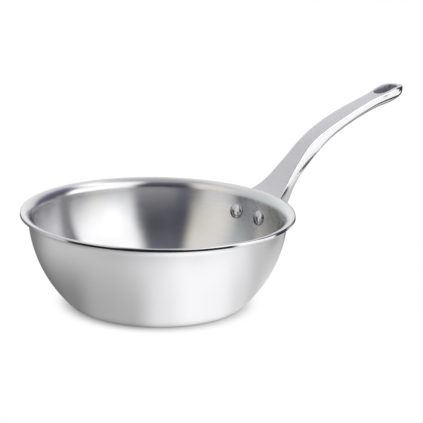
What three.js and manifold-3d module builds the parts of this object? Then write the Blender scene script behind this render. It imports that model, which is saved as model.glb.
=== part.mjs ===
// Clad saute pan: a five-ply bowl with a flared pouring lip and a cast handle held by two rivets.
// Millimetres, +Z up. The origin is the centre of the base's underside, and the handle points along +X.

import * as THREE from 'three';
import { mergeVertices } from 'three/addons/utils/BufferGeometryUtils.js';
import Module from 'manifold-3d';

// Bowl, on the outer face of the sheet unless it says otherwise
const RIM_DIAMETER = 240; // across the lip's outer edge
const BOWL_HEIGHT = 82.5; // resting face to the top of the lip
const BASE_DIAMETER = 140; // flat that stands on the hob
const BASE_CORNER_RADIUS = 14; // bend from the base into the wall
const WALL_LEAN_DEG = 5; // lean from upright where the wall meets the lip
const LIP_RADIUS = 11.5; // outward bend of the pouring lip
const LIP_SLOPE_DEG = 20; // slope of the lip at its cut edge

// Clad sheet, from the cooking face outwards
const LINING_THICKNESS = 0.5; // stainless steel
const INNER_ALLOY_THICKNESS = 0.25; // aluminium alloy that bonds the lining
const CORE_THICKNESS = 0.8; // pure aluminium that spreads the heat
const OUTER_ALLOY_THICKNESS = 0.25; // aluminium alloy that bonds the skin
const SKIN_THICKNESS = 0.6; // magnetic stainless steel
const BOND_GAP = 0.05; // bond line between two plies

// Rivets
const RIVET_SPACING = 30; // between the two heads, across the handle
const RIVET_DROP = 22; // below the top of the lip
const RIVET_HEAD_DIAMETER = 13.5;
const RIVET_HEAD_HEIGHT = 3.4;
const RIVET_HEAD_EDGE = 0.8; // straight edge below the dome
const RIVET_SHANK_DIAMETER = 6.4;
const RIVET_TAIL_OVERHANG = 1.6; // upset tail beyond the shank, all round
const RIVET_TAIL_HEIGHT = 2.4;
const RIVET_CLEARANCE = 0.3; // round the shank, and under the head and tail
const RIVET_GRIP = 7; // casting held between the wall and the tail
const SPOT_FACE_MARGIN = 1; // flat seat beyond the tail, all round
const SPOT_FACE_DEPTH = 0.8; // seat sunk into the flange

// Handle, out from the wall and up from the rivets
const HANDLE_REACH = 195.5; // wall to the end of the nose
const HANDLE_RISE = 98.4; // rivets to the top face at the paddle
const HANDLE_WALL_GAP = 0.3; // between the casting and the bowl
const NOSE_LENGTH = 20.5; // round end beyond the paddle's widest place
const NOSE_DROP = 4; // how far the top face turns down over the nose
const NOSE_THINNING = 0.35; // share of the paddle's depth lost at the end of the nose
const PALM_ROUND = 1.0; // round along the top face's edges
const BELLY_SHARE = 0.6; // share of the half width that rounds under into the belly
const HANG_HOLE_LENGTH = 26;
const HANG_HOLE_WIDTH = 13.4;
const HANG_HOLE_TO_NOSE = 8; // metal left at the end of the hole
const HANG_HOLE_RIM = 4.5; // metal left on each side of the hole
const ROOT_MARGIN = 12; // root beyond the rivets, on each side
const SCOOP_WEB = 3.6; // casting left on each side of the scoop under the root
const SCOOP_ROUND = 4; // corner between the scoop's roof and its sides
const SCOOP_RUNOUT = 3; // how far the scoop's roof has sunk past the belly where the scoop has ended

// Sections from the wall to the paddle: width of the top face, height of the upright side, belly below it,
// and, where the root is scooped from below, the thickness of the roof that is left
const BURIED = { width: RIVET_SPACING + 3.5 * ROOT_MARGIN, side: 12, belly: 18, roof: 8 }; // lost in the wall
const ROOT = { width: RIVET_SPACING + 2 * ROOT_MARGIN, side: 14, belly: 11, roof: 8 };
const THROAT = { width: 33.6, side: 19, belly: 4, roof: 10 };
const SHOULDER = { width: 22.8, side: 14.2, belly: 3 };
const NECK = { width: 18.4, side: 15.2, belly: 3 };
const GRIP = { width: 19.7, side: 9, belly: 5 };
const PALM = { width: 19.7, side: 5.8, belly: 6 };
const WAIST = { width: 17.5, side: 5, belly: 6.4 };
const PADDLE = { width: HANG_HOLE_WIDTH + 2 * HANG_HOLE_RIM, side: 4.8, belly: 8 };

// Shares of the handle's run and rise at which those sections lie
const HANDLE_STATIONS = [
  { section: BURIED, along: -0.074, up: 0.066 },
  { section: ROOT, along: 0.04, up: 0.127 },
  { section: THROAT, along: 0.154, up: 0.237 },
  { section: SHOULDER, along: 0.268, up: 0.423 },
  { section: NECK, along: 0.383, up: 0.605 },
  { section: GRIP, along: 0.52, up: 0.736 },
  { section: PALM, along: 0.691, up: 0.847 },
  { section: WAIST, along: 0.874, up: 0.94 },
  { section: PADDLE, along: 1, up: 1 },
];

// Facets
const BOWL_SIDES = 44;
const CORNER_STEPS = 2;
const WALL_STEPS = 5;
const LIP_STEPS = 3;
const RIVET_SIDES = 16;
const DOME_STEPS = 4;
const STATION_STEPS = 3; // rings from one handle station to the next
const NOSE_STEPS = 5;
const NOSE_LAST_ANGLE = THREE.MathUtils.degToRad(80);
const BELLY_STEPS = 4;
const HOLE_STEPS = 8;
const WELD_TOLERANCE = 1e-4;

const STEEL_COLOUR = 0xc8c8ca;
const ALUMINIUM_COLOUR = 0xd2d4d6;

const wasm = await Module();
wasm.setup();

// Bowl profile: base flat, corner bend, one long wall arc and the lip's outward bend, tangent to each other

const SHEET_THICKNESS = LINING_THICKNESS + INNER_ALLOY_THICKNESS + CORE_THICKNESS
  + OUTER_ALLOY_THICKNESS + SKIN_THICKNESS + 4 * BOND_GAP;

function bowlArcs() {
  const wallTop = THREE.MathUtils.degToRad(90 - WALL_LEAN_DEG);
  const lipEnd = THREE.MathUtils.degToRad(LIP_SLOPE_DEG);
  const corner = new THREE.Vector2(BASE_DIAMETER / 2, BASE_CORNER_RADIUS);
  const lip = new THREE.Vector2(
    RIM_DIAMETER / 2 + LIP_RADIUS * Math.sin(lipEnd),
    BOWL_HEIGHT - (LIP_RADIUS + SHEET_THICKNESS) * Math.cos(lipEnd),
  );
  // The wall's arc ends on the lip's arc and touches the corner's arc, which gives its radius.
  const inward = new THREE.Vector2(-Math.sin(wallTop), Math.cos(wallTop));
  const wallEnd = lip.clone().addScaledVector(inward, LIP_RADIUS);
  const span = wallEnd.clone().sub(corner);
  const drop = span.dot(inward) + BASE_CORNER_RADIUS;
  const wallRadius = (BASE_CORNER_RADIUS ** 2 - span.lengthSq()) / (2 * drop);
  const wall = wallEnd.clone().addScaledVector(inward, wallRadius);
  const toCorner = corner.clone().sub(wall).divideScalar(wallRadius - BASE_CORNER_RADIUS);
  const wallStart = Math.atan2(toCorner.x, -toCorner.y);
  return { corner, wall, lip, wallRadius, wallStart, wallTop, lipEnd };
}

const ARCS = bowlArcs();

// Points of the sheet's face that lies `depth` inside the outer face, from the axis to the lip's edge
function bowlFace(depth) {
  const { corner, wall, lip, wallRadius, wallStart, wallTop, lipEnd } = ARCS;
  const points = [new THREE.Vector2(0, depth), new THREE.Vector2(corner.x, depth)];
  const bend = (centre, radius, from, to, steps) => {
    for (let i = 1; i <= steps; i += 1) {
      const slope = THREE.MathUtils.lerp(from, to, i / steps);
      const reach = new THREE.Vector2(Math.sin(slope), -Math.cos(slope));
      points.push(centre.clone().addScaledVector(reach, radius));
    }
  };
  bend(corner, BASE_CORNER_RADIUS - depth, 0, wallStart, CORNER_STEPS);
  bend(wall, wallRadius - depth, wallStart, wallTop, WALL_STEPS);
  bend(lip, -(LIP_RADIUS + depth), wallTop, lipEnd, LIP_STEPS);
  return points;
}

// Place and slope of the outer face at a height on the wall's arc
function wallAt(height) {
  const slope = Math.acos((ARCS.wall.y - height) / ARCS.wallRadius);
  return { radius: ARCS.wall.x + ARCS.wallRadius * Math.sin(slope), height, slope };
}

// Solids: a revolve about Z, a loft of rings, and cuts

function revolve(profile, sides) {
  return new THREE.LatheGeometry(profile, sides).rotateX(Math.PI / 2);
}

function toSolid(geometry) {
  const bare = new THREE.BufferGeometry();
  bare.setAttribute('position', geometry.getAttribute('position'));
  bare.setIndex(geometry.getIndex());
  const welded = mergeVertices(bare, WELD_TOLERANCE);
  const corners = welded.getIndex().array;
  const triangles = [];
  for (let i = 0; i < corners.length; i += 3) {
    const [a, b, c] = corners.slice(i, i + 3);
    if (a !== b && b !== c && c !== a) triangles.push(a, b, c);
  }
  const vertProperties = new Float32Array(welded.getAttribute('position').array);
  const triVerts = new Uint32Array(triangles);
  return new wasm.Manifold(new wasm.Mesh({ numProp: 3, vertProperties, triVerts }));
}

function toGeometry(solid) {
  const mesh = solid.getMesh();
  const geometry = new THREE.BufferGeometry();
  geometry.setAttribute('position', new THREE.BufferAttribute(mesh.vertProperties, 3));
  geometry.setIndex(new THREE.BufferAttribute(mesh.triVerts, 1));
  return geometry;
}

function cut(geometry, cutters) {
  const left = cutters.reduce((solid, cutter) => solid.subtract(toSolid(cutter)), toSolid(geometry));
  return toGeometry(left);
}

// Closed skin over rings of equal point counts, with flat ends
function loft(rings) {
  const count = rings[0].length;
  const positions = rings.flat().flatMap((point) => point.toArray());
  const triangles = [];
  for (let ring = 0; ring + 1 < rings.length; ring += 1) {
    for (let i = 0; i < count; i += 1) {
      const [a, b] = [ring * count + i, ring * count + ((i + 1) % count)];
      triangles.push(a, b, b + count, a, b + count, a + count);
    }
  }
  const last = (rings.length - 1) * count;
  for (let i = 1; i + 1 < count; i += 1) {
    triangles.push(0, i + 1, i, last, last + i, last + i + 1);
  }
  const geometry = new THREE.BufferGeometry();
  geometry.setAttribute('position', new THREE.Float32BufferAttribute(positions, 3));
  geometry.setIndex(triangles);
  return geometry;
}

function part(name, geometry, color, roughness) {
  const mesh = new THREE.Mesh(geometry, new THREE.MeshStandardMaterial({ color, roughness, metalness: 1 }));
  mesh.name = name;
  return mesh;
}

// Rivets: both lie square to the wall, either side of the handle's middle

const RIVET_SEAT = wallAt(BOWL_HEIGHT - RIVET_DROP);
const RIVET_TURN = Math.asin(RIVET_SPACING / 2 / (RIVET_SEAT.radius - SHEET_THICKNESS));

// Local +Z leaves the outer face of the wall, with its origin on that face
function rivetPlace(turn) {
  const onWall = new THREE.Object3D();
  onWall.position.set(RIVET_SEAT.radius, 0, RIVET_SEAT.height);
  onWall.rotation.y = Math.PI - RIVET_SEAT.slope;
  const aroundBowl = new THREE.Group();
  aroundBowl.rotation.z = turn;
  aroundBowl.add(onWall);
  aroundBowl.updateMatrixWorld();
  return onWall.matrixWorld;
}

function turned(profile) {
  return revolve(profile.map(([radius, z]) => new THREE.Vector2(radius, z)), RIVET_SIDES);
}

function rod(diameter, from, to) {
  return turned([[0, from], [diameter / 2, from], [diameter / 2, to], [0, to]]);
}

// Domed head, long enough to reach into the sheet, which then trims it to the hollow of the wall
function rivetHead() {
  const radius = RIVET_HEAD_DIAMETER / 2;
  const edge = -(SHEET_THICKNESS + RIVET_HEAD_EDGE);
  const dome = RIVET_HEAD_HEIGHT - RIVET_HEAD_EDGE;
  const profile = [];
  for (let i = 0; i <= DOME_STEPS; i += 1) {
    const angle = (Math.PI / 2) * (i / DOME_STEPS);
    profile.push([radius * Math.sin(angle), edge - dome * Math.cos(angle)]);
  }
  const buried = -SHEET_THICKNESS / 2;
  return turned([...profile, [radius, buried], [0, buried]]);
}

// Shank from inside the head to the tail, which is upset against its seat in the handle
function rivetShank() {
  const shank = RIVET_SHANK_DIAMETER / 2;
  const tail = shank + RIVET_TAIL_OVERHANG;
  const start = -(SHEET_THICKNESS + RIVET_HEAD_EDGE + RIVET_CLEARANCE);
  const seat = RIVET_GRIP + RIVET_CLEARANCE;
  const end = seat + RIVET_TAIL_HEIGHT;
  const shoulder = seat + RIVET_TAIL_HEIGHT / 2;
  return turned([
    [0, start], [shank, start], [shank, seat], [tail, seat], [tail, shoulder], [shank, end], [0, end],
  ]);
}

function rivetGeometry(place) {
  const inside = bowlFace(SHEET_THICKNESS + RIVET_CLEARANCE);
  const sheet = revolve([...bowlFace(0), ...inside.reverse()], BOWL_SIDES);
  const head = toSolid(rivetHead().applyMatrix4(place)).subtract(toSolid(sheet));
  return toGeometry(head.add(toSolid(rivetShank().applyMatrix4(place))));
}

const RIVET_PLACES = { left: rivetPlace(RIVET_TURN), right: rivetPlace(-RIVET_TURN) };
const BORE_DIAMETER = RIVET_SHANK_DIAMETER + 2 * RIVET_CLEARANCE;
const SPOT_FACE_DIAMETER = RIVET_SHANK_DIAMETER + 2 * (RIVET_TAIL_OVERHANG + SPOT_FACE_MARGIN);

function rodsAtRivets(diameter, from, to) {
  return Object.values(RIVET_PLACES).map((place) => rod(diameter, from, to).applyMatrix4(place));
}

function rivetBores() {
  return rodsAtRivets(BORE_DIAMETER, -2 * SHEET_THICKNESS, RIVET_GRIP + RIVET_TAIL_HEIGHT);
}

// The tails sit on flats inside the scoop
function spotFaces() {
  const tailEnd = RIVET_GRIP + RIVET_CLEARANCE + RIVET_TAIL_HEIGHT;
  return rodsAtRivets(SPOT_FACE_DIAMETER, RIVET_GRIP, tailEnd + SPOT_FACE_MARGIN);
}

// Bowl: five bonded plies with the rivet bores cut through them

function ply(outerDepth, thickness) {
  const outer = bowlFace(outerDepth);
  const inner = bowlFace(outerDepth + thickness);
  return cut(revolve([...outer, ...inner.reverse()], BOWL_SIDES), rivetBores());
}

const PLIES = [
  { name: 'outer_steel_skin', thickness: SKIN_THICKNESS, color: STEEL_COLOUR, roughness: 0.18 },
  { name: 'outer_alloy_layer', thickness: OUTER_ALLOY_THICKNESS, color: ALUMINIUM_COLOUR, roughness: 0.5 },
  { name: 'aluminium_core', thickness: CORE_THICKNESS, color: ALUMINIUM_COLOUR, roughness: 0.5 },
  { name: 'inner_alloy_layer', thickness: INNER_ALLOY_THICKNESS, color: ALUMINIUM_COLOUR, roughness: 0.5 },
  { name: 'inner_steel_lining', thickness: LINING_THICKNESS, color: STEEL_COLOUR, roughness: 0.32 },
];

function bowl() {
  const group = new THREE.Group();
  let depth = 0;
  for (const { name, thickness, color, roughness } of PLIES) {
    group.add(part(name, ply(depth, thickness), color, roughness));
    depth += thickness + BOND_GAP;
  }
  return group;
}

// Handle: a loft along three rails, trimmed by the bowl, scooped under the root, bored for rivets and hanging

// Ring round a section: down one side, along the belly and up the other side to the top face
function handleRing(x, halfWidth, top, sideEnd, keel) {
  const round = Math.min(PALM_ROUND, halfWidth / 2);
  const bellyWidth = BELLY_SHARE * halfWidth;
  const right = [[halfWidth - round, top], [halfWidth, top - round]];
  for (let i = 0; i <= BELLY_STEPS; i += 1) {
    const angle = (Math.PI / 2) * (i / BELLY_STEPS);
    const y = halfWidth - bellyWidth * (1 - Math.cos(angle));
    right.push([y, THREE.MathUtils.lerp(sideEnd, keel, Math.sin(angle))]);
  }
  const left = right.map(([y, z]) => [-y, z]).reverse();
  return [...right, ...left].map(([y, z]) => new THREE.Vector3(x, y, z)).reverse();
}

function rail(across, height) {
  const run = HANDLE_REACH - NOSE_LENGTH;
  const points = HANDLE_STATIONS.map(({ section, along, up }) => new THREE.Vector3(
    RIVET_SEAT.radius + along * run,
    across(section),
    RIVET_SEAT.height + up * HANDLE_RISE - height(section),
  ));
  return new THREE.CatmullRomCurve3(points, false, 'catmullrom', 0.5);
}

function handleRings() {
  const edge = rail((section) => section.width / 2, () => 0);
  const side = rail(() => 0, (section) => section.side);
  const keel = rail(() => 0, (section) => section.side + section.belly);
  const rings = [];
  const steps = STATION_STEPS * (HANDLE_STATIONS.length - 1);
  for (let i = 0; i <= steps; i += 1) {
    const top = edge.getPoint(i / steps);
    rings.push(handleRing(top.x, top.y, top.z, side.getPoint(i / steps).z, keel.getPoint(i / steps).z));
  }
  // The nose closes in plan as an ellipse, and its top face turns down as it goes
  const paddle = edge.getPoint(1);
  const climb = edge.getTangent(1).z / edge.getTangent(1).x;
  for (let i = 1; i <= NOSE_STEPS; i += 1) {
    const angle = NOSE_LAST_ANGLE * (i / NOSE_STEPS);
    const share = Math.sin(angle);
    const out = share * NOSE_LENGTH / Math.sin(NOSE_LAST_ANGLE);
    const top = paddle.z + climb * out - NOSE_DROP * share ** 2;
    const kept = 1 - NOSE_THINNING * share ** 2;
    rings.push(handleRing(
      paddle.x + out,
      paddle.y * Math.cos(angle),
      top,
      top - PADDLE.side * kept,
      top - (PADDLE.side + PADDLE.belly) * kept,
    ));
  }
  return rings;
}

// Everything the bowl fills, oversize by a margin, so that the root follows the wall
function bowlEnvelope(margin) {
  const face = bowlFace(-margin);
  const lipTop = new THREE.Vector2(0, face.at(-1).y);
  return revolve([...face, lipTop], BOWL_SIDES);
}

function hangHole() {
  const straight = (HANG_HOLE_LENGTH - HANG_HOLE_WIDTH) / 2;
  const outline = new THREE.Shape();
  outline.absarc(straight, 0, HANG_HOLE_WIDTH / 2, -Math.PI / 2, Math.PI / 2);
  outline.absarc(-straight, 0, HANG_HOLE_WIDTH / 2, Math.PI / 2, (3 * Math.PI) / 2);
  const options = { depth: 2 * HANDLE_RISE, bevelEnabled: false, curveSegments: HOLE_STEPS };
  const hole = new THREE.ExtrudeGeometry(outline, options);
  const x = RIVET_SEAT.radius + HANDLE_REACH - HANG_HOLE_TO_NOSE - HANG_HOLE_LENGTH / 2;
  return hole.translate(x, 0, RIVET_SEAT.height);
}

// Hollow under the root, open below, that leaves a roof, two webs and a flange along the wall
function rootScoop() {
  const roof = rail(
    (section) => section.width / 2 - SCOOP_WEB,
    (section) => section.roof ?? section.side + section.belly + SCOOP_RUNOUT,
  );
  const rings = [];
  const steps = STATION_STEPS * (HANDLE_STATIONS.length - 1);
  const last = STATION_STEPS * HANDLE_STATIONS.findIndex(({ section }) => section === SHOULDER);
  for (let i = 0; i <= last; i += 1) {
    const { x, y, z } = roof.getPoint(i / steps);
    const right = [[y - SCOOP_ROUND, z], [y, z - SCOOP_ROUND], [y, 0]];
    const left = right.map(([across, up]) => [-across, up]).reverse();
    rings.push([...right, ...left].map(([across, up]) => new THREE.Vector3(x, across, up)).reverse());
  }
  return cut(loft(rings), [bowlEnvelope(RIVET_GRIP + SPOT_FACE_DEPTH)]);
}

function handle() {
  const envelope = bowlEnvelope(HANDLE_WALL_GAP);
  const cutters = [envelope, rootScoop(), ...rivetBores(), ...spotFaces(), hangHole()];
  return part('handle', cut(loft(handleRings()), cutters), STEEL_COLOUR, 0.3);
}

function rivets() {
  const group = new THREE.Group();
  for (const [side, place] of Object.entries(RIVET_PLACES)) {
    group.add(part(`rivet_${side}`, rivetGeometry(place), STEEL_COLOUR, 0.15));
  }
  return group;
}

const pan = new THREE.Group();
pan.name = 'saute_pan';
pan.add(bowl(), handle(), rivets());

export default pan;
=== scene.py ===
"""Clad saute pan: a five-ply bowl with a flared lip, a cast handle and the two rivets that hold it."""

import logging
import math
from dataclasses import dataclass
from enum import Enum
from typing import Callable, Sequence

import bmesh
import bpy
from bmesh.types import BMEdge, BMesh, BMVert
from bpy.types import Material, Node, NodeSocket, NodeTree, Object
from mathutils import Matrix, Vector


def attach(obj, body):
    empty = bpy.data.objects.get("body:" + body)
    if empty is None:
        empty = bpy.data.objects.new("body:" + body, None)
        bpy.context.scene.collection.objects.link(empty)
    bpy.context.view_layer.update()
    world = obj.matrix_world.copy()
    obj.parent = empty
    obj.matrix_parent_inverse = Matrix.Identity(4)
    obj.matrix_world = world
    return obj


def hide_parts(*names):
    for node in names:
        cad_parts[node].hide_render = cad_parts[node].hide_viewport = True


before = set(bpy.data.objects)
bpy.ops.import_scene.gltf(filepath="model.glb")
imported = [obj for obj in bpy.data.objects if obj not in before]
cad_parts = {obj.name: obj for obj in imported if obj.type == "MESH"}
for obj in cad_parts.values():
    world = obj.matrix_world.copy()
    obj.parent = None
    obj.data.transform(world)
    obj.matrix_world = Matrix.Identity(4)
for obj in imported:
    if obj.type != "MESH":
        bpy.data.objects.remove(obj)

LOG = logging.getLogger("saute_pan")
MM = 0.001
WELD_MM = 1e-4
BODY = "root"
# Share of a full turn that lays an anisotropic streak across its tangent
ACROSS_TANGENT = 0.25
# Sockets of a Mix node that mixes colours: the share with both colours, and the result
MIX_INPUTS = (0, 6, 7)
MIX_RESULT = 2
Span = tuple[float, float]
Triple = tuple[float, float, float]
Colour = tuple[float, float, float]


# Drafting helpers

def new_piece(draft: BMesh, name: str) -> Object:
    """Close a mesh drafted in millimetres and put it into the scene in metres.

    Args:
        draft: The mesh to close, which is freed.
        name: The piece's name.

    Returns:
        The new object, at the origin, with its place in its mesh.
    """
    bmesh.ops.remove_doubles(draft, verts=draft.verts, dist=WELD_MM)
    bmesh.ops.recalc_face_normals(draft, faces=draft.faces)
    bmesh.ops.scale(draft, vec=(MM, MM, MM), verts=draft.verts)
    mesh = bpy.data.meshes.new(name)
    draft.to_mesh(mesh)
    draft.free()
    piece = bpy.data.objects.new(name, mesh)
    bpy.context.scene.collection.objects.link(piece)
    return piece


def cut(piece: Object, cutters: Sequence[Object]) -> None:
    """Take the cutters' shapes out of a piece, and remove the cutters.

    Args:
        piece: The object that is cut.
        cutters: Closed shapes, in the order in which they cut.
    """
    for cutter in cutters:
        knife = piece.modifiers.new("knife", "BOOLEAN")
        knife.operation = "DIFFERENCE"
        knife.solver = "EXACT"
        knife.object = cutter
    graph = bpy.context.evaluated_depsgraph_get()
    left = bpy.data.meshes.new_from_object(piece.evaluated_get(graph))
    whole = piece.data
    name = whole.name
    piece.modifiers.clear()
    piece.data = left
    bpy.data.meshes.remove(whole)
    left.name = name
    for cutter in cutters:
        bpy.data.meshes.remove(cutter.data)


def smooth(piece: Object, crease: float) -> None:
    """Shade a piece smooth, apart from edges that turn by more than an angle.

    Args:
        piece: The object to shade.
        crease: The angle in radians from which an edge stays sharp.
    """
    piece.data.shade_smooth()
    piece.data.set_sharp_from_angle(angle=crease)


def join_pan(piece: Object, node: str) -> None:
    """Let a piece stand for a solid of the pan: hang it on the pan's body and hide the solid.

    Args:
        piece: The dressed object.
        node: The solid that it replaces.
    """
    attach(piece, BODY)
    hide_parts(node)
    LOG.info("%s stands for %s, %d faces", piece.name, node, len(piece.data.polygons))


def closed_loop(draft: BMesh, points: Sequence[Vector]) -> list[BMEdge]:
    """Draw a closed loop of edges through points, and return its edges."""
    verts = [draft.verts.new(point) for point in points]
    return [draft.edges.new((verts[i - 1], verts[i])) for i in range(len(verts))]


def draw_on(draft: BMesh, tip: BMVert, points: Sequence[Sequence[float]]) -> BMVert:
    """Draw a chain of edges on from a vertex.

    Args:
        draft: The mesh that takes the chain.
        tip: The vertex to start from.
        points: The points that the chain goes through.

    Returns:
        The chain's last vertex.
    """
    for point in points:
        corner = draft.verts.new(point)
        draft.edges.new((tip, corner))
        tip = corner
    return tip


def skin_over(draft: BMesh, loops: Sequence[list[BMEdge]]) -> None:
    """Bridge loops in their order and close the two ends.

    Args:
        draft: The mesh that holds the loops.
        loops: Closed loops of edges with equal counts.
    """
    for first, second in zip(loops, loops[1:]):
        bmesh.ops.bridge_loops(draft, edges=first + second)
    for end in (loops[0], loops[-1]):
        bmesh.ops.contextual_create(draft, geom=end)


def quarter_turn(steps: int) -> list[float]:
    """Angles from 0 to a right angle, in even steps."""
    return [math.pi / 2 * step / steps for step in range(steps + 1)]


def both_sides(x: float, right: Sequence[Span]) -> list[Vector]:
    """Points at x with the right side's y and z, and then their mirror images on the way back."""
    left = [(-y, z) for y, z in reversed(right)]
    return [Vector((x, y, z)) for y, z in [*right, *left]]


def turn_chain(draft: BMesh, steps: int) -> None:
    """Spin everything drawn in the XZ plane once round the Z axis."""
    bmesh.ops.spin(
        draft, geom=draft.verts[:] + draft.edges[:], cent=(0, 0, 0), axis=(0, 0, 1), dvec=(0, 0, 0),
        angle=math.tau, steps=steps, use_merge=True,
    )


# Bowl

def inward(slope: float) -> Vector:
    """Unit vector into the bowl, square to a sheet that rises at a slope."""
    return Vector((-math.sin(slope), 0, math.cos(slope)))


@dataclass(frozen=True)
class SheetProfile:
    """Profile of the bowl's sheet in millimetres: flat base, corner, long wall arc and the lip's bend."""

    rim_radius: float = 120.0
    height: float = 82.5
    base_radius: float = 70.0
    corner_radius: float = 14.0
    wall_lean: float = math.radians(5)
    lip_radius: float = 6.6
    lip_slope: float = math.radians(-5)
    thickness: float = 2.6
    edge_round: float = 1.2
    edge_lean: float = math.radians(-12)
    edge_tolerance: float = math.radians(0.5)
    envelope_slope: float = 0.1
    corner_steps: int = 8
    wall_steps: int = 26
    lip_steps: int = 14
    turn_steps: int = 192

    def corner_centre(self) -> Vector:
        """Centre of the bend from the base into the wall."""
        return Vector((self.base_radius, 0, self.corner_radius))

    def lip_centre(self) -> Vector:
        """Centre of the lip's outward bend, which lies outside the bowl.

        Returns:
            The point in the XZ plane.
        """
        reach = self.lip_radius * math.sin(self.lip_slope)
        drop = (self.lip_radius + self.thickness) * math.cos(self.lip_slope)
        return Vector((self.rim_radius + reach, 0, self.height - drop))

    def wall_top(self) -> float:
        """Slope of the sheet where the wall meets the lip."""
        return math.pi / 2 - self.wall_lean

    def wall_arc(self) -> tuple[Vector, float, float]:
        """Arc that ends on the lip's bend and touches the corner's.

        Returns:
            The arc's centre, its radius and the slope at which it leaves the corner.
        """
        square = inward(self.wall_top())
        end = self.lip_centre() + square * self.lip_radius
        span = end - self.corner_centre()
        drop = span.dot(square) + self.corner_radius
        radius = (self.corner_radius ** 2 - span.length_squared) / (2 * drop)
        centre = end + square * radius
        towards = self.corner_centre() - centre
        return centre, radius, math.atan2(towards.x, -towards.z)

    def wall_at(self, height: float) -> tuple[Vector, float]:
        """Point on the wall's outer face at a height, and its slope there.

        Args:
            height: The height above the resting face.

        Returns:
            The point in the XZ plane, and the sheet's slope from the horizontal.
        """
        centre, radius, _ = self.wall_arc()
        slope = math.acos((centre.z - height) / radius)
        return Vector((centre.x + radius * math.sin(slope), 0, height)), slope

    def edge_set_back(self, depth: float) -> float:
        """How far the lip's edge lies behind its foremost line: rounded above, and leaning back below.

        Args:
            depth: The depth inside the sheet's outer face.

        Returns:
            The distance along the sheet.
        """
        middle = self.thickness - self.edge_round
        round_start = middle - self.edge_round * math.sin(self.edge_lean)
        bent = max(depth, round_start)
        back = self.edge_round - math.sqrt(self.edge_round ** 2 - (bent - middle) ** 2)
        return back + (bent - depth) * math.tan(self.edge_lean)

    def lip_end(self, depth: float) -> float:
        """Slope of the sheet where the lip ends at a depth; its outer corner stays on the rim."""
        trim = self.edge_set_back(depth) - self.edge_set_back(0)
        return self.lip_slope + trim / (self.lip_radius + depth)

    def edge_point(self, depth: float) -> Vector:
        """Point of the lip's edge at a depth."""
        return self.lip_centre() + inward(self.lip_end(depth)) * (self.lip_radius + depth)

    def on_edge(self, point: Vector) -> bool:
        """Tell whether a point of the bowl lies on the lip's edge.

        Args:
            point: The point in millimetres.

        Returns:
            True for a point on the edge.
        """
        from_centre = Vector((math.hypot(point.x, point.y), 0, point.z)) - self.lip_centre()
        slope = math.atan2(-from_centre.x, from_centre.z)
        depth = min(max(from_centre.length - self.lip_radius, 0), self.thickness)
        return slope - self.lip_end(depth) < self.edge_tolerance

    def draw_face(self, draft: BMesh, depth: float, lip_end: float) -> BMVert:
        """Draw a face of the sheet as a chain of edges, each bend swept from the end of the one before.

        Args:
            draft: The mesh that takes the chain.
            depth: How far the face lies inside the sheet's outer face.
            lip_end: The slope at which the lip ends.

        Returns:
            The chain's vertex at the lip's edge.
        """
        centre, _, wall_start = self.wall_arc()
        bends = (
            (self.corner_centre(), wall_start, self.corner_steps),
            (centre, self.wall_top() - wall_start, self.wall_steps),
            (self.lip_centre(), lip_end - self.wall_top(), self.lip_steps),
        )
        tip = draw_on(draft, draft.verts.new((0, 0, depth)), [(self.base_radius, 0, depth)])
        for pivot, angle, steps in bends:
            swept = bmesh.ops.spin(
                draft, geom=[tip], cent=pivot, axis=(0, -1, 0), dvec=(0, 0, 0), angle=angle, steps=steps,
            )
            tip = next(item for item in swept["geom_last"] if isinstance(item, BMVert))
        return tip

    def envelope(self, margin: float) -> Object:
        """Everything that the bowl fills up to its lip.

        Args:
            margin: How far the shape is oversize.

        Returns:
            The shape as a cutter.
        """
        draft = bmesh.new()
        tip = self.draw_face(draft, -margin, max(self.lip_slope, self.envelope_slope))
        draw_on(draft, tip, [(0, 0, tip.co.z)])
        turn_chain(draft, self.turn_steps)
        return new_piece(draft, "bowl_envelope")


@dataclass(frozen=True)
class RivetSeat:
    """Where the two rivets pass through the wall, in millimetres."""

    profile: SheetProfile
    spacing: float = 30.0
    drop: float = 22.0
    rod_steps: int = 48

    def on_wall(self) -> tuple[Vector, float]:
        """Point of the wall's outer face at the rivets' height, and its slope there."""
        return self.profile.wall_at(self.profile.height - self.drop)

    def places(self) -> dict[str, Matrix]:
        """Frames of the two rivets.

        Returns:
            A frame for each side, with its origin on the wall's outer face and its Z leaving that face.
        """
        point, slope = self.on_wall()
        turn = math.asin(self.spacing / 2 / (point.x - self.profile.thickness))
        leaving = Matrix.Translation(point) @ Matrix.Rotation(math.pi - slope, 4, "Y")
        sides = {"left": turn, "right": -turn}
        return {side: Matrix.Rotation(angle, 4, "Z") @ leaving for side, angle in sides.items()}

    def rods(self, diameter: float, start: float, end: float) -> list[Object]:
        """Round cutters along both rivets.

        Args:
            diameter: The rods' diameter.
            start: Where a rod starts along its rivet.
            end: Where it ends.

        Returns:
            The two cutters.
        """
        cutters = []
        for place in self.places().values():
            draft = bmesh.new()
            along = Matrix.Translation((0, 0, (start + end) / 2))
            bmesh.ops.create_cone(
                draft, cap_ends=True, segments=self.rod_steps, radius1=diameter / 2,
                radius2=diameter / 2, depth=end - start, matrix=place @ along,
            )
            cutters.append(new_piece(draft, "rivet_rod"))
        return cutters


# Node helpers

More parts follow.
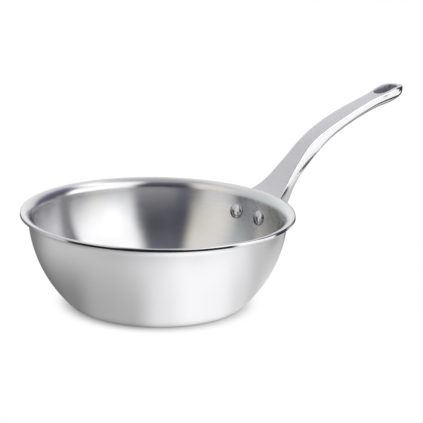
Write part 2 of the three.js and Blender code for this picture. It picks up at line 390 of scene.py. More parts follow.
class NodeSheet:
    """A node tree that is drafted node by node."""

    def __init__(self, tree: NodeTree) -> None:
        """Take over a tree and clear it."""
        self.tree = tree
        tree.nodes.clear()

    def add(self, kind: str, inputs: dict[str | int, object] | None = None, **settings: object) -> Node:
        """Add a node.

        Args:
            kind: The node's type name.
            inputs: Values or sockets for its inputs, by name or number.
            settings: Values for the node's own properties.

        Returns:
            The new node.
        """
        node = self.tree.nodes.new(kind)
        for name, value in settings.items():
            setattr(node, name, value)
        for name, value in (inputs or {}).items():
            self.feed(node.inputs[name], value)
        return node

    def feed(self, socket: NodeSocket, value: object) -> None:
        """Link an input, or set its own value.

        Args:
            socket: The input.
            value: The socket to link it to, or a plain value.
        """
        if isinstance(value, NodeSocket):
            self.tree.links.new(value, socket)
        else:
            socket.default_value = value

    def maths(self, operation: str, *values: object) -> NodeSocket:
        """Add a Math node.

        Args:
            operation: What it works out.
            values: Values or sockets for its inputs, in order.

        Returns:
            Its result.
        """
        node = self.add("ShaderNodeMath", operation=operation)
        for socket, value in zip(node.inputs, values):
            self.feed(socket, value)
        return node.outputs[0]

    def spread(self, value: NodeSocket, source: Span, target: Span = (0, 1),
               ease: str = "SMOOTHSTEP") -> NodeSocket:
        """Carry a value from one range to another.

        Args:
            value: The value to carry.
            source: The range that it has.
            target: The range that it gets.
            ease: How it goes from one end to the other.

        Returns:
            The carried value.
        """
        ends = {"From Min": source[0], "From Max": source[1], "To Min": target[0], "To Max": target[1]}
        node = self.add("ShaderNodeMapRange", {"Value": value, **ends}, interpolation_type=ease)
        return node.outputs["Result"]

    def blend(self, share: object, first: object, second: object) -> NodeSocket:
        """Mix two colours.

        Args:
            share: How much of the second colour there is.
            first: The colour at a share of 0.
            second: The colour at a share of 1.

        Returns:
            The mixed colour.
        """
        node = self.add("ShaderNodeMix", data_type="RGBA")
        for index, value in zip(MIX_INPUTS, (share, first, second)):
            self.feed(node.inputs[index], (*value, 1) if isinstance(value, tuple) else value)
        return node.outputs[MIX_RESULT]

    def ramp(self, value: NodeSocket, stops: Sequence[tuple[float, Colour]]) -> NodeSocket:
        """Colour a value by stops, eased from each stop to the next.

        Args:
            value: The value, from 0 to 1.
            stops: The place and the colour of each stop.

        Returns:
            The colour.
        """
        node = self.add("ShaderNodeValToRGB", {"Fac": value})
        node.color_ramp.interpolation = "EASE"
        elements = node.color_ramp.elements
        while len(elements) < len(stops):
            elements.new(1.0)
        for element, (place, colour) in zip(elements, stops):
            element.position = place
            element.color = (*colour, 1)
        return node.outputs["Color"]


def new_material(name: str) -> tuple[Material, NodeSheet]:
    """Start a node material.

    Args:
        name: The material's name.

    Returns:
        The material and the sheet to draft it on.
    """
    material = bpy.data.materials.new(name)
    material.use_nodes = True
    return material, NodeSheet(material.node_tree)


def round_axis(sheet: NodeSheet, place: NodeSocket, fineness: NodeSocket, wander: float) -> NodeSocket:
    """Stretch places into lines round the Z axis, as a pad leaves on a spinning bowl.

    Args:
        sheet: The sheet to draft on.
        place: The place in metres.
        fineness: How many lines there are in a metre.
        wander: How much a line changes on its way round.

    Returns:
        The stretched place, at which a noise is taken.
    """
    parts = sheet.add("ShaderNodeSeparateXYZ", {"Vector": place}).outputs
    flat = sheet.add("ShaderNodeCombineXYZ", {"X": parts["X"], "Y": parts["Y"]}).outputs[0]
    radius = sheet.add("ShaderNodeVectorMath", {0: flat}, operation="LENGTH").outputs["Value"]
    heading = sheet.add("ShaderNodeVectorMath", {0: flat}, operation="NORMALIZE").outputs["Vector"]
    bent = sheet.add("ShaderNodeVectorMath", {0: heading, "Scale": wander}, operation="SCALE")
    sides = sheet.add("ShaderNodeSeparateXYZ", {"Vector": bent.outputs["Vector"]}).outputs
    climb = sheet.maths("MULTIPLY", sheet.maths("ADD", radius, parts["Z"]), fineness)
    return sheet.add("ShaderNodeCombineXYZ", {"X": climb, "Y": sides["X"], "Z": sides["Y"]}).outputs[0]


@dataclass(frozen=True)
class Noise:
    """Settings of a noise, and the part of its range that is stretched to 0 to 1."""

    fineness: float
    detail: float
    roughness: float
    contrast: Span
    ease: str = "LINEAR"
    distortion: float = 0.0
    wander: float = 0.0


class Effect(Enum):
    """Surface effects that several finishes share: brush lines, wiping marks and casting grain."""

    BRUSHED_ROUND = Noise(900.0, 3.0, 0.65, (0.25, 0.75), wander=1.5)
    SOFT_SMUDGES = Noise(30.0, 5.0, 0.55, (0.42, 0.68), "SMOOTHSTEP", distortion=0.8)
    BLASTED_GRAIN = Noise(2500.0, 2.0, 0.6, (0.3, 0.7))

    def tree(self) -> NodeTree:
        """The effect as a node group, built the first time that it is asked for.

        Returns:
            A group that turns Fineness, in marks per metre, into Marks from 0 to 1.
        """
        known = bpy.data.node_groups.get(self.name)
        if known:
            return known
        noise: Noise = self.value
        tree = bpy.data.node_groups.new(self.name, "ShaderNodeTree")
        given = tree.interface.new_socket("Fineness", in_out="INPUT", socket_type="NodeSocketFloat")
        given.default_value = noise.fineness
        tree.interface.new_socket("Marks", in_out="OUTPUT", socket_type="NodeSocketFloat")
        sheet = NodeSheet(tree)
        scale = sheet.add("NodeGroupInput").outputs["Fineness"]
        place = sheet.add("ShaderNodeTexCoord").outputs["Object"]
        where = {"Vector": place, "Scale": scale}
        if noise.wander:
            where = {"Vector": round_axis(sheet, place, scale, noise.wander), "Scale": 1.0}
        kind = {"Detail": noise.detail, "Roughness": noise.roughness, "Distortion": noise.distortion}
        cloud = sheet.add("ShaderNodeTexNoise", {**where, **kind}).outputs["Fac"]
        sheet.add("NodeGroupOutput", {"Marks": sheet.spread(cloud, noise.contrast, ease=noise.ease)})
        return tree


# Finishes

@dataclass(frozen=True)
class MetalFinish:
    """A bare metal surface with a fine texture and faint smudges."""

    name: str
    colour: Colour
    roughness: float
    texture: Effect
    fineness: float
    tone_depth: float = 0.06
    rough_depth: float = 0.05
    smudge_depth: float = 0.03
    bump_depth_mm: float = 0.002
    anisotropy: float = 0.0

    def material(self) -> Material:
        """The finish as a material, built the first time that it is asked for.

        Returns:
            A material whose colour, roughness and bump follow the texture.
        """
        known = bpy.data.materials.get(self.name)
        if known:
            return known
        material, sheet = new_material(self.name)
        texture = sheet.add("ShaderNodeGroup", node_tree=self.texture.tree())
        texture.inputs["Fineness"].default_value = self.fineness
        marks = sheet.add("ShaderNodeGroup", node_tree=Effect.SOFT_SMUDGES.tree()).outputs["Marks"]
        fine = texture.outputs["Marks"]
        dark = tuple(channel * (1 - self.tone_depth) for channel in self.colour)
        tone = sheet.blend(fine, dark, self.colour)
        low = self.roughness - self.rough_depth / 2
        brushed = sheet.spread(fine, (0, 1), (low, low + self.rough_depth), "LINEAR")
        rough = sheet.maths("MULTIPLY_ADD", marks, self.smudge_depth, brushed)
        relief = {"Height": fine, "Strength": 1.0, "Distance": self.bump_depth_mm * MM}
        bump = sheet.add("ShaderNodeBump", relief)
        shader = sheet.add(
            "ShaderNodeBsdfPrincipled",
            {"Base Color": tone, "Metallic": 1.0, "Roughness": rough, "Normal": bump.outputs["Normal"]},
        )
        if self.anisotropy:
            around = sheet.add("ShaderNodeTangent", direction_type="RADIAL", axis="Z").outputs["Tangent"]
            sheet.feed(shader.inputs["Tangent"], around)
            shader.inputs["Anisotropic"].default_value = self.anisotropy
            shader.inputs["Anisotropic Rotation"].default_value = ACROSS_TANGENT
        sheet.add("ShaderNodeOutputMaterial", {"Surface": shader.outputs["BSDF"]})
        return material


STEEL: Colour = (0.66, 0.66, 0.67)
ALLOY: Colour = (0.74, 0.75, 0.76)
SATIN_LINING = MetalFinish(
    "brushed_lining", STEEL, 0.21, Effect.BRUSHED_ROUND, 900.0, bump_depth_mm=0.0006, anisotropy=0.95,
)
POLISHED_SKIN = MetalFinish(
    "buffed_skin", STEEL, 0.30, Effect.BRUSHED_ROUND, 1400.0,
    tone_depth=0.03, bump_depth_mm=0.001, anisotropy=0.6,
)
STEEL_EDGE = MetalFinish(
    "polished_steel_edge", STEEL, 0.10, Effect.BRUSHED_ROUND, 3000.0, bump_depth_mm=0.0005,
)
ALLOY_EDGE = MetalFinish(
    "polished_alloy_edge", ALLOY, 0.11, Effect.BRUSHED_ROUND, 3000.0, bump_depth_mm=0.0005,
)
PURE_ALUMINIUM = MetalFinish("matt_aluminium", (0.80, 0.81, 0.82), 0.45, Effect.BRUSHED_ROUND, 3000.0)
ALUMINIUM_ALLOY = MetalFinish("matt_alloy", ALLOY, 0.42, Effect.BRUSHED_ROUND, 3000.0)
LINISHED_PALM = MetalFinish(
    "linished_palm", (0.70, 0.69, 0.72), 0.52, Effect.BLASTED_GRAIN, 1800.0,
    tone_depth=0.12, bump_depth_mm=0.01,
)
POLISHED_FLANK = MetalFinish(
    "polished_flank", (0.68, 0.68, 0.69), 0.12, Effect.BLASTED_GRAIN, 900.0,
    tone_depth=0.02, rough_depth=0.03, bump_depth_mm=0.0005,
)
# Painted shade and painted reflection: the hang hole's wall is darker steel tinted violet, as the hole
# looks in its shade
HOLE_WALL = MetalFinish(
    "hole_wall_painted_shade", (0.42, 0.41, 0.46), 0.5, Effect.BLASTED_GRAIN, 1500.0,
    tone_depth=0.08, bump_depth_mm=0.004,
)
CAST_HOLLOW = MetalFinish(
    "cast_hollow", (0.52, 0.52, 0.53), 0.52, Effect.BLASTED_GRAIN, 1200.0,
    tone_depth=0.2, bump_depth_mm=0.04,
)
RIVET_STEEL = MetalFinish(
    "polished_rivet", (0.56, 0.56, 0.58), 0.10, Effect.BLASTED_GRAIN, 1500.0,
    tone_depth=0.04, rough_depth=0.04, bump_depth_mm=0.001,
)


# Sub-assemblies

@dataclass(frozen=True)
class Ply:
    """One layer of the clad sheet."""

    node: str
    thickness: float
    slot: str
    finish: MetalFinish
    edge_finish: MetalFinish


@dataclass(frozen=True)
class CladBowl:
    """Bowl of five bonded plies, with bores for the rivets."""

    profile: SheetProfile
    seat: RivetSeat
    bond_gap: float = 0.05
    bore: float = 7.0
    edge_steps: int = 5
    crease: float = math.radians(40)
    plies: tuple[Ply, ...] = (
        Ply("outer_steel_skin", 0.6, "polished_skin", POLISHED_SKIN, STEEL_EDGE),
        Ply("outer_alloy_layer", 0.25, "aluminium_alloy", ALUMINIUM_ALLOY, ALLOY_EDGE),
        Ply("aluminium_core", 0.8, "pure_aluminium", PURE_ALUMINIUM, ALLOY_EDGE),
        Ply("inner_alloy_layer", 0.25, "aluminium_alloy", ALUMINIUM_ALLOY, ALLOY_EDGE),
        Ply("inner_steel_lining", 0.5, "satin_lining", SATIN_LINING, STEEL_EDGE),
    )

    def spin_ply(self, ply: Ply, depth: float) -> Object:
        """Spin one ply and bore it for the rivets.

        Args:
            ply: The layer to make.
            depth: How far its outer face lies inside the sheet's outer face.

        Returns:
            The ply's object.
        """
        draft = bmesh.new()
        floor = depth + ply.thickness
        tip = self.profile.draw_face(draft, depth, self.profile.lip_end(depth))
        inner_tip = self.profile.draw_face(draft, floor, self.profile.lip_end(floor))
        depths = [depth + ply.thickness * step / self.edge_steps for step in range(1, self.edge_steps)]
        tip = draw_on(draft, tip, [self.profile.edge_point(inside) for inside in depths])
        draft.edges.new((tip, inner_tip))
        turn_chain(draft, self.profile.turn_steps)
        piece = new_piece(draft, f"smooth_{ply.node}")
        reach = 2 * self.profile.thickness
        cut(piece, self.seat.rods(self.bore, -reach, reach))
        return piece

    def build(self) -> None:
        """Make the five plies from the skin inwards, and dress each in its finish."""
        depth = 0.0
        for ply in self.plies:
            piece = self.spin_ply(ply, depth)
            for finish in (ply.finish, ply.edge_finish):
                piece.data.materials.append(finish.material())
            for face in piece.data.polygons:
                face.material_index = int(self.profile.on_edge(face.center / MM))
            smooth(piece, self.crease)
            join_pan(piece, ply.node)
            depth += ply.thickness + self.bond_gap


class Region(Enum):
    """Faces of the handle that are finished in different ways."""

    PALM = 0
    FLANK = 1
    HOLE = 2
    HOLLOW = 3


@dataclass(frozen=True)
class Section:
    """A cross-section of the handle, and where it lies as shares of the handle's run and rise."""

    along: float
    up: float
    width: float
    side: float
    belly: float
    roof: float | None = None


@dataclass(frozen=True)
class CastHandle:
    """Cast handle: a skin over sections along a curve, fitted to the wall, hollow under its root."""

    profile: SheetProfile
    seat: RivetSeat
    reach: float = 195.5
    rise: float = 98.4
    wall_gap: float = 0.3
    nose_length: float = 20.5
    nose_drop: float = 4.0
    nose_thinning: float = 0.35
    nose_last_angle: float = math.radians(87)
    palm_round: float = 1.6
    belly_share: float = 0.6
    hole_length: float = 26.0
    hole_width: float = 13.4
    hole_to_nose: float = 8.0
    hole_round: float = 0.8
    scoop_web: float = 3.6
    scoop_round: float = 4.0
    scoop_runout: float = 3.0
    rivet_bore: float = 7.0
    rivet_grip: float = 7.0
    spot_face: float = 11.6
    spot_face_depth: float = 0.8
    spot_face_height: float = 3.7
    station_steps: int = 10
    nose_steps: int = 16
    round_steps: int = 4
    belly_steps: int = 12
    hole_steps: int = 32
    scoop_last: int = 3
    crease: float = math.radians(35)
    sections: tuple[Section, ...] = (
        Section(-0.074, 0.066, 72, 12, 18, roof=8),
        Section(0.04, 0.127, 54, 14, 11, roof=8),
        Section(0.154, 0.237, 33.6, 19, 4, roof=10),
        Section(0.268, 0.423, 22.8, 14.2, 3),
        Section(0.383, 0.605, 18.4, 15.2, 3),
        Section(0.52, 0.736, 19.7, 9, 5),
        Section(0.691, 0.847, 19.7, 5.8, 6),
        Section(0.874, 0.94, 17.5, 5, 6.4),
        Section(1, 1, 22.4, 4.8, 8),
    )

    def start(self) -> Vector:
        """Point on the wall at the rivets' height, from which the handle is measured."""
        return self.seat.on_wall()[0]

    def rail(self, across: Callable[[Section], float], below: Callable[[Section], float]) -> list[Vector]:
        """Smooth rail through the sections.

        Args:
            across: Gives the rail's distance from the middle plane at a section.
            below: Gives its depth under the top face there.

        Returns:
            Points of the rail, with `station_steps` of them from one section to the next.
        """
        run = self.reach - self.nose_length
        start = self.start()
        knots = [
            start + Vector((s.along * run, across(s), s.up * self.rise - below(s))) for s in self.sections
        ]
        beyond = 2 * knots[-1] - knots[-2]
        beyond.y = knots[-2].y
        knots = [2 * knots[0] - knots[1], *knots, beyond]
        points = []
        for before, first, second, after in zip(knots, knots[1:], knots[2:], knots[3:]):
            # A cubic whose slopes at both ends come from the neighbours
            leave, arrive = (second - before) / 2, (after - first) / 2
            for step in range(self.station_steps):
                t = step / self.station_steps
                points.append(
                    first * (2 * t ** 3 - 3 * t ** 2 + 1) + leave * (t ** 3 - 2 * t ** 2 + t)
                    + second * (3 * t ** 2 - 2 * t ** 3) + arrive * (t ** 3 - t ** 2)
                )
        return [*points, knots[-2]]

    def paddle_top(self) -> tuple[Vector, float]:
        """Middle of the top face where the nose begins, and the face's slope there."""
        *_, before, paddle = self.rail(lambda s: 0, lambda s: 0)
        return paddle, (paddle.z - before.z) / (paddle.x - before.x)

    def outline(self, x: float, half: float, top: float, side_end: float, keel: float) -> list[Vector]:
        """Points round a section: over a rounded edge, down the side, along the belly and up again.

        Args:
            x: Where the section lies.
            half: Half of its width.
            top: Height of its top face.
            side_end: Height at which the upright side ends.
            keel: Height of its lowest line.

        Returns:
            The outline, from the top face's one edge to its other.
        """
        bend = min(self.palm_round, half / 2)
        belly = self.belly_share * half
        right = []
        for angle in quarter_turn(self.round_steps):
            right.append((half - bend + bend * math.sin(angle), top - bend + bend * math.cos(angle)))
        for angle in quarter_turn(self.belly_steps):
            down = (side_end - keel) * math.sin(angle)
            right.append((half - belly * (1 - math.cos(angle)), side_end - down))
        return both_sides(x, right)

    def outlines(self) -> list[list[Vector]]:
        """Outlines from inside the wall to the nose, which closes as an ellipse and turns down.

        Returns:
            Outlines with equal counts of points.
        """
        edge = self.rail(lambda s: s.width / 2, lambda s: 0)
        side = self.rail(lambda s: 0, lambda s: s.side)
        keel = self.rail(lambda s: 0, lambda s: s.side + s.belly)
        found = [self.outline(e.x, e.y, e.z, s.z, k.z) for e, s, k in zip(edge, side, keel)]
        paddle, climb = self.paddle_top()
        half = edge[-1].y
        last = self.sections[-1]
        for step in range(1, self.nose_steps + 1):
            angle = self.nose_last_angle * step / self.nose_steps
            share = math.sin(angle)
            out = share * self.nose_length / math.sin(self.nose_last_angle)
            top = paddle.z + climb * out - self.nose_drop * share ** 2
            kept = 1 - self.nose_thinning * share ** 2
            keel_z = top - (last.side + last.belly) * kept
            side_z = top - last.side * kept
            found.append(self.outline(paddle.x + out, half * math.cos(angle), top, side_z, keel_z))
        return found

    def body(self) -> Object:
        """Skin the casting over its outlines, with its top face set apart as the palm.

        Returns:
            The casting before it is cut.
        """
        draft = bmesh.new()
        loops = [closed_loop(draft, points) for points in self.outlines()]
        palm = {vert for loop in loops for vert in loop[0].verts}
        skin_over(draft, loops)
        for face in draft.faces:
            region = Region.PALM if palm.issuperset(face.verts) else Region.FLANK
            face.material_index = region.value
        return new_piece(draft, "smooth_handle")

    def scoop(self) -> Object:
        """Hollow under the root, open below, that stops short of the wall by the rivets' grip.

        Returns:
            The hollow as a cutter.
        """
        roof = self.rail(
            lambda s: s.width / 2 - self.scoop_web,
            lambda s: s.side + s.belly + self.scoop_runout if s.roof is None else s.roof,
        )
        draft = bmesh.new()
        loops = []
        for point in roof[:self.scoop_last * self.station_steps + 1]:
            right = []
            for angle in quarter_turn(self.round_steps):
                y = point.y - self.scoop_round * (1 - math.sin(angle))
                right.append((y, point.z - self.scoop_round * (1 - math.cos(angle))))
            right.append((point.y, 0))
            loops.append(closed_loop(draft, both_sides(point.x, right)))
        skin_over(draft, loops)
        hollow = new_piece(draft, "root_scoop")
        cut(hollow, [self.profile.envelope(self.rivet_grip + self.spot_face_depth)])
        return hollow

    def hang_hole(self) -> Object:
        """Long hole through the paddle, whose upper edge is rounded along the sloping top face.

        Returns:
            The hole as a cutter, which reaches well past the paddle above and below.
        """
        draft = bmesh.new()
        loops = []
        for angle in quarter_turn(self.round_steps):
            grow = self.hole_round * (1 - math.cos(angle))
            lift = self.hole_round * (math.sin(angle) - 1)
            loops.append(self.hole_loop(draft, grow, lift))
        loops.append(self.hole_loop(draft, 2 * self.hole_round, self.nose_length))
        loops.insert(0, self.hole_loop(draft, 0, -2 * self.nose_length))
        skin_over(draft, loops)
        return new_piece(draft, "hang_hole")

    def hole_loop(self, draft: BMesh, grow: float, lift: float) -> list[BMEdge]:
        """One loop of the hanging hole, parallel to the top face.

        Args:
            draft: The mesh that takes the loop.
            grow: How much wider the loop is than the hole, on each side.
            lift: Its height above the top face.

        Returns:
            The loop's edges.
        """
        paddle, climb = self.paddle_top()
        middle = self.start().x + self.reach - self.hole_to_nose - self.hole_length / 2
        straight = (self.hole_length - self.hole_width) / 2
        radius = self.hole_width / 2 + grow
        points = []
        for step in range(self.hole_steps):
            angle = math.tau * (step + 0.5) / self.hole_steps
            x = middle + math.copysign(straight, math.cos(angle)) + radius * math.cos(angle)
            top = paddle.z + climb * (x - paddle.x)
            if x > paddle.x:
                top -= self.nose_drop * ((x - paddle.x) / self.nose_length) ** 2
            points.append(Vector((x, radius * math.sin(angle), top + lift)))
        return closed_loop(draft, points)

    def build(self) -> None:
        """Cast the handle, cut it to the wall, the scoop, the rivets and the hole, and dress it."""
        piece = self.body()
        spot_end = self.rivet_grip + self.spot_face_height
        cutters = {
            Region.FLANK: [self.profile.envelope(self.wall_gap)],
            Region.HOLE: [self.hang_hole()],
            Region.HOLLOW: [
                self.scoop(),
                *self.seat.rods(self.rivet_bore, -self.rivet_grip, spot_end),
                *self.seat.rods(self.spot_face, self.rivet_grip, spot_end),
            ],
        }
        knives = [shape for shapes in cutters.values() for shape in shapes]
        for finish in (LINISHED_PALM, POLISHED_FLANK, HOLE_WALL, CAST_HOLLOW):
            for shape in (piece, *knives):
                shape.data.materials.append(finish.material())
        for region, shapes in cutters.items():
            for shape in shapes:
                for face in shape.data.polygons:
                    face.material_index = region.value
        cut(piece, knives)
        smooth(piece, self.crease)
        join_pan(piece, "handle")


@dataclass(frozen=True)
class RivetPair:
    """Two rivets with domed heads inside the bowl and upset tails under the handle's root."""

    profile: SheetProfile
    seat: RivetSeat
    head_radius: float = 6.75
    head_height: float = 3.4
    head_edge: float = 0.8
    head_seat: float = 0.3
    shank_radius: float = 3.2
    tail_radius: float = 4.8
    tail_height: float = 2.4
    grip: float = 7.3
    dome_steps: int = 14
    turn_steps: int = 64
    crease: float = math.radians(35)

    def spin_rivet(self, name: str, place: Matrix) -> Object:
        """Spin one rivet and set it into the wall.

        Args:
            name: The piece's name.
            place: The rivet's frame, whose Z leaves the wall's outer face.

        Returns:
            The rivet's object.
        """
        draft = bmesh.new()
        edge = -(self.profile.thickness + self.head_edge)
        under_head = -(self.profile.thickness + self.head_seat)
        rim = draft.verts.new((self.head_radius, 0, edge))
        bmesh.ops.spin(
            draft, geom=[rim], cent=(0, 0, edge), axis=(0, 1, 0), dvec=(0, 0, 0), angle=math.pi / 2,
            steps=self.dome_steps,
        )
        flatten = (self.head_height - self.head_edge) / self.head_radius
        about = Matrix.Translation((0, 0, -edge))
        bmesh.ops.scale(draft, vec=(1, 1, flatten), space=about, verts=draft.verts)
        corners = (
            (self.head_radius, under_head),
            (self.shank_radius, under_head),
            (self.shank_radius, self.grip),
            (self.tail_radius, self.grip),
            (self.tail_radius, self.grip + self.tail_height / 2),
            (self.shank_radius, self.grip + self.tail_height),
            (0, self.grip + self.tail_height),
        )
        draw_on(draft, rim, [(radius, 0, along) for radius, along in corners])
        turn_chain(draft, self.turn_steps)
        bmesh.ops.transform(draft, matrix=place, verts=draft.verts)
        return new_piece(draft, name)

    def build(self) -> None:
        """Make both rivets and dress them."""
        for side, place in self.seat.places().items():
            piece = self.spin_rivet(f"smooth_rivet_{side}", place)
            piece.data.materials.append(RIVET_STEEL.material())
            smooth(piece, self.crease)
            join_pan(piece, f"rivet_{side}")


# Studio

WHITE: Colour = (1.0, 1.0, 1.0)


class Tint(Enum):
    """Casts of colour in the room."""

    PLAIN = WHITE
    WARM = (1.04, 1.0, 0.88)
    GREENISH = (0.96, 1.0, 1.0)
    VIOLET = (0.96, 0.93, 1.6)


@dataclass(frozen=True)
class Stop:
    """How bright the room is, as a share of the softbox, at a bearing in degrees.

    The camera's bearing is 0, and bearings on its right are positive.
    """

    bearing: float
    level: float
    tint: Tint = Tint.PLAIN

    def on_ramp(self) -> tuple[float, Colour]:
        """The stop's place as a share of the full turn, and its colour."""
        return 0.5 + self.bearing / 360, tuple(self.level * channel for channel in self.tint.value)


Ring = tuple[Stop, ...]
UNDER_TABLE: Ring = (Stop(-180, 0.015), Stop(180, 0.015))
# Below eye level: the far table in front, a white card on the right for the handle's flank
LOW_RING: Ring = (
    Stop(-180, 0.03), Stop(-70, 0.14), Stop(-30, 0.32), Stop(-12, 0.38), Stop(4, 0.58), Stop(18, 0.66),
    Stop(36, 0.3), Stop(50, 0.2), Stop(60, 0.75), Stop(128, 0.75), Stop(136, 0.01), Stop(180, 0.01),
)
# Eye level: dark in front, which draws the line under the lip
EYE_RING: Ring = (
    Stop(-178, 0.5), Stop(-150, 0.3), Stop(-138, 0.01), Stop(62, 0.01), Stop(70, 0.8), Stop(108, 0.75),
    Stop(114, 0.02, Tint.VIOLET), Stop(170, 0.02), Stop(178, 0.5),
)
# Just under the horizon: dark on the right too, which draws the palm's edge and the lip's line there
LINE_RING: Ring = (
    Stop(-178, 0.5), Stop(-150, 0.3), Stop(-138, 0.01), Stop(170, 0.02), Stop(178, 0.5),
)
# Above it: softbox on the right, dark camera side, warm wall on the left, dark doorway behind the softbox
HIGH_RING: Ring = (
    Stop(-178, 0.62), Stop(-115, 0.48, Tint.GREENISH), Stop(-90, 0.42, Tint.GREENISH),
    Stop(-64, 0.58, Tint.WARM), Stop(-42, 0.52, Tint.WARM), Stop(-26, 0.03, Tint.VIOLET),
    Stop(17, 0.02, Tint.VIOLET), Stop(31, 0.9), Stop(46, 1.1), Stop(88, 1.15), Stop(100, 0.08),
    Stop(138, 0.08, Tint.VIOLET), Stop(154, 0.52), Stop(178, 0.62),
)
# Halfway up: the same room, with a dimmer softbox
STEEP_RING: Ring = (
    Stop(-178, 0.62), Stop(-150, 0.5), Stop(-105, 0.5), Stop(-74, 0.6), Stop(-42, 0.6, Tint.WARM),
    Stop(-28, 0.08, Tint.GREENISH), Stop(12, 0.06, Tint.GREENISH), Stop(29, 0.85), Stop(92, 0.6),
    Stop(104, 0.06, Tint.VIOLET), Stop(138, 0.12, Tint.VIOLET), Stop(152, 0.48), Stop(178, 0.62),
)
# Over the doorway: bright from the softbox round to the back
UPPER_RING: Ring = (
    Stop(-178, 0.45), Stop(-150, 0.7), Stop(-112, 0.4), Stop(-58, 0.65), Stop(-34, 0.08, Tint.VIOLET),
    Stop(8, 0.1, Tint.VIOLET), Stop(30, 1.0), Stop(60, 1.1), Stop(124, 0.9), Stop(156, 0.5),
    Stop(178, 0.45),
)
OVERHEAD: Ring = (Stop(-180, 0.33), Stop(180, 0.33))
# Rings from the lowest up, with the heights between which each takes over from the one before
SURROUND: tuple[tuple[Ring, Span], ...] = (
    (LOW_RING, (-0.44, -0.38)),
    (EYE_RING, (-0.24, -0.18)),
    (LINE_RING, (-0.04, 0.0)),
    (HIGH_RING, (0.06, 0.12)),
    (STEEP_RING, (0.50, 0.60)),
    (UPPER_RING, (0.72, 0.82)),
    (OVERHEAD, (0.87, 0.95)),
)
# The table close to the pan and further out, as the steel mirrors it: painted light and shade by bearing,
# brighter in front and on the right, darker on the left and behind
TABLE_NEAR: Ring = (
    Stop(-178, 0.28), Stop(-104, 0.06), Stop(-62, 0.15), Stop(-38, 0.32), Stop(-16, 0.36), Stop(4, 0.68),
    Stop(22, 0.82), Stop(42, 0.78), Stop(62, 0.57), Stop(80, 0.44), Stop(100, 0.52), Stop(178, 0.28),
)
TABLE_FAR: Ring = (
    Stop(-178, 0.03), Stop(-122, 0.13), Stop(-82, 0.48), Stop(-30, 0.48), Stop(-4, 0.68), Stop(20, 0.88),
    Stop(42, 0.86), Stop(60, 0.74), Stop(80, 0.44), Stop(126, 0.42), Stop(140, 0.02), Stop(178, 0.02),
)


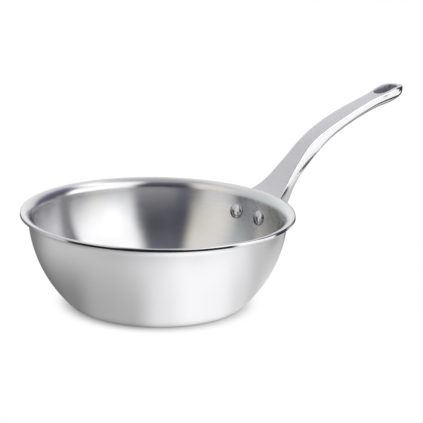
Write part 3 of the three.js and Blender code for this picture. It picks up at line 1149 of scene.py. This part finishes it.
@dataclass(frozen=True)
class Studio:
    """Camera, pale table, black sheet for a painted shadow of the handle, one soft lamp and the
    surroundings that the steel mirrors.
    """

    camera_place: Triple = (-0.91718, -1.08998, 0.47071)
    camera_turn_deg: Triple = (74.7463, -1.3650, -41.5793)
    lens_mm: float = 143.983
    sensor_mm: float = 36.0
    far_clip: float = 20.0
    sight_turn: float = math.radians(40.08)
    table_right: float = 0.42
    table_front: float = 0.27
    table_reach: float = 0.9
    table_tone: Colour = (0.9, 0.9, 0.9)
    # Black sheet on the table that only the steel mirrors: a painted shadow of the handle
    shadow_sheet_length: float = 0.26
    shadow_sheet_width: float = 0.105
    shadow_sheet_place: Triple = (0.362, -0.163, 0.002)
    shadow_sheet_turn: float = math.radians(-20)
    shadow_sheet_tone: Colour = (0.01, 0.01, 0.01)
    softbox_level: float = 1.8
    far_ring: Span = (0.08, 0.24)
    # Painted shadow: the table as the steel mirrors it darkens towards the pan's base
    contact_shade_ring: Span = (0.068, 0.083)
    contact_shade_share: float = 0.08
    shadow_ring: Span = (0.070, 0.094)
    shadow_share: float = 0.9
    lamp_size: float = 1.6
    lamp_watts: float = 30.0
    lamp_place: Triple = (0.0, 0.0, 1.1)

    def camera(self) -> None:
        """Set up the camera where the photograph was taken from."""
        data = bpy.data.cameras.new("camera")
        data.lens = self.lens_mm
        data.sensor_width = self.sensor_mm
        data.clip_end = self.far_clip
        camera = bpy.data.objects.new("camera", data)
        bpy.context.scene.collection.objects.link(camera)
        camera.location = self.camera_place
        camera.rotation_euler = [math.radians(angle) for angle in self.camera_turn_deg]
        bpy.context.scene.camera = camera

    def by_bearing(self, sheet: NodeSheet, sight: NodeSocket,
                   *rings: Ring) -> tuple[list[NodeSocket], NodeSocket]:
        """Colour a direction or place by its bearing from the camera.

        Args:
            sheet: The sheet to draft on.
            sight: The direction or place.
            rings: Colours by bearing.

        Returns:
            The colour on each ring, and the height part of the direction.
        """
        turned = sheet.add("ShaderNodeMapping", {"Vector": sight, "Rotation": (0, 0, self.sight_turn)})
        parts = sheet.add("ShaderNodeSeparateXYZ", {"Vector": turned.outputs["Vector"]}).outputs
        bearing = sheet.maths("ARCTAN2", parts["X"], sheet.maths("MULTIPLY", parts["Y"], -1.0))
        share = sheet.spread(bearing, (-math.pi, math.pi), ease="LINEAR")
        colours = [sheet.ramp(share, [stop.on_ramp() for stop in ring]) for ring in rings]
        return colours, parts["Z"]

    def table(self) -> None:
        """Lay a pale table that is white to the camera, keeps the pan's shadow and ends on the right; to
        the steel it shows painted light and shade by bearing and a painted shadow round the base.
        """
        draft = bmesh.new()
        bmesh.ops.create_grid(draft, x_segments=1, y_segments=1, size=self.table_reach / MM)
        shift = Vector((self.table_right - self.table_reach, self.table_reach - self.table_front, 0)) / MM
        bmesh.ops.translate(draft, vec=shift, verts=draft.verts)
        turn = Matrix.Rotation(-self.sight_turn, 3, "Z")
        bmesh.ops.rotate(draft, cent=(0, 0, 0), matrix=turn, verts=draft.verts)
        table = new_piece(draft, "table")
        material, sheet = new_material("pale_table")
        place = sheet.add("ShaderNodeTexCoord").outputs["Object"]
        (near, far), _ = self.by_bearing(sheet, place, TABLE_NEAR, TABLE_FAR)
        radius = sheet.add("ShaderNodeVectorMath", {0: place}, operation="LENGTH").outputs["Value"]
        # Painted light and shade of the table, as the steel mirrors it
        pool = sheet.blend(sheet.spread(radius, self.far_ring), near, far)
        # Painted shadow: the mirrored table's strength falls close to the base
        level = (self.softbox_level * self.contact_shade_share, self.softbox_level)
        strength = sheet.spread(radius, self.contact_shade_ring, level)
        shadow = sheet.spread(radius, self.shadow_ring, (self.shadow_share, 0))
        path = sheet.add("ShaderNodeLightPath").outputs
        mirrored = sheet.add("ShaderNodeEmission", {"Color": pool, "Strength": strength})
        white = sheet.add("ShaderNodeEmission", {"Color": (*WHITE, 1), "Strength": 1.0})
        matt = sheet.add("ShaderNodeBsdfDiffuse", {"Color": (*self.table_tone, 1)})
        seen = sheet.add("ShaderNodeMixShader", {0: shadow, 1: white.outputs[0], 2: matt.outputs[0]})
        either = sheet.add(
            "ShaderNodeMixShader", {0: path["Is Glossy Ray"], 1: seen.outputs[0], 2: mirrored.outputs[0]},
        )
        sheet.add("ShaderNodeOutputMaterial", {"Surface": either.outputs[0]})
        table.data.materials.append(material)

    def shadow_sheet(self) -> None:
        """Lay a black sheet beside the handle, which only the steel mirrors: a painted shadow of the
        handle on the table, which draws its lower edge.
        """
        draft = bmesh.new()
        half_metre = 0.5 / MM
        bmesh.ops.create_grid(draft, x_segments=1, y_segments=1, size=half_metre)
        bmesh.ops.scale(draft, vec=(self.shadow_sheet_length, self.shadow_sheet_width, 1), verts=draft.verts)
        place = Matrix.Translation(Vector(self.shadow_sheet_place) / MM) @ Matrix.Rotation(self.shadow_sheet_turn, 4, "Z")
        bmesh.ops.transform(draft, matrix=place, verts=draft.verts)
        # Painted shadow: a black sheet where the handle's shadow would lie, seen only in reflections
        shadow_sheet = new_piece(draft, "painted_handle_shadow")
        material, sheet = new_material("painted_shadow_black")
        cloth = sheet.add("ShaderNodeBsdfDiffuse", {"Color": (*self.shadow_sheet_tone, 1)})
        sheet.add("ShaderNodeOutputMaterial", {"Surface": cloth.outputs[0]})
        shadow_sheet.data.materials.append(material)
        shadow_sheet.visible_camera = False
        shadow_sheet.visible_diffuse = False
        shadow_sheet.visible_shadow = False

    def lamp(self) -> None:
        """Hang one large soft lamp over the table, for the pan's shadow."""
        data = bpy.data.lights.new("overhead_lamp", "AREA")
        data.shape = "DISK"
        data.size = self.lamp_size
        data.energy = self.lamp_watts
        lamp = bpy.data.objects.new("overhead_lamp", data)
        bpy.context.scene.collection.objects.link(lamp)
        lamp.location = self.lamp_place
        lamp.visible_glossy = False

    def surroundings(self) -> None:
        """Paint the studio that the steel mirrors; the camera itself sees plain white."""
        world = bpy.data.worlds.new("studio")
        bpy.context.scene.world = world
        world.use_nodes = True
        sheet = NodeSheet(world.node_tree)
        sight = sheet.add("ShaderNodeTexCoord").outputs["Generated"]
        rings = [ring for ring, _ in SURROUND]
        (mirrored, *higher), height = self.by_bearing(sheet, sight, UNDER_TABLE, *rings)
        for colour, (_, takeover) in zip(higher, SURROUND):
            mirrored = sheet.blend(sheet.spread(height, takeover), mirrored, colour)
        level = {0: mirrored, "Scale": self.softbox_level}
        bright = sheet.add("ShaderNodeVectorMath", level, operation="SCALE").outputs["Vector"]
        path = sheet.add("ShaderNodeLightPath").outputs
        colour = sheet.blend(path["Is Camera Ray"], bright, WHITE)
        light = sheet.add("ShaderNodeBackground", {"Color": colour, "Strength": 1.0})
        sheet.add("ShaderNodeOutputWorld", {"Surface": light.outputs[0]})

    def build(self) -> None:
        """Set up the whole studio."""
        self.camera()
        self.table()
        self.shadow_sheet()
        self.lamp()
        self.surroundings()
        bpy.context.scene.view_settings.view_transform = "Standard"
        LOG.info("studio is set")


def main() -> None:
    """Set up the studio, then build the pan's sub-assemblies in order."""
    logging.basicConfig(level=logging.INFO, format="%(name)s: %(message)s")
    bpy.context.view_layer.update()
    profile = SheetProfile()
    seat = RivetSeat(profile)
    pan = (CladBowl(profile, seat), CastHandle(profile, seat), RivetPair(profile, seat))
    for assembly in (Studio(), *pan):
        assembly.build()


if __name__ == "__main__":
    main()
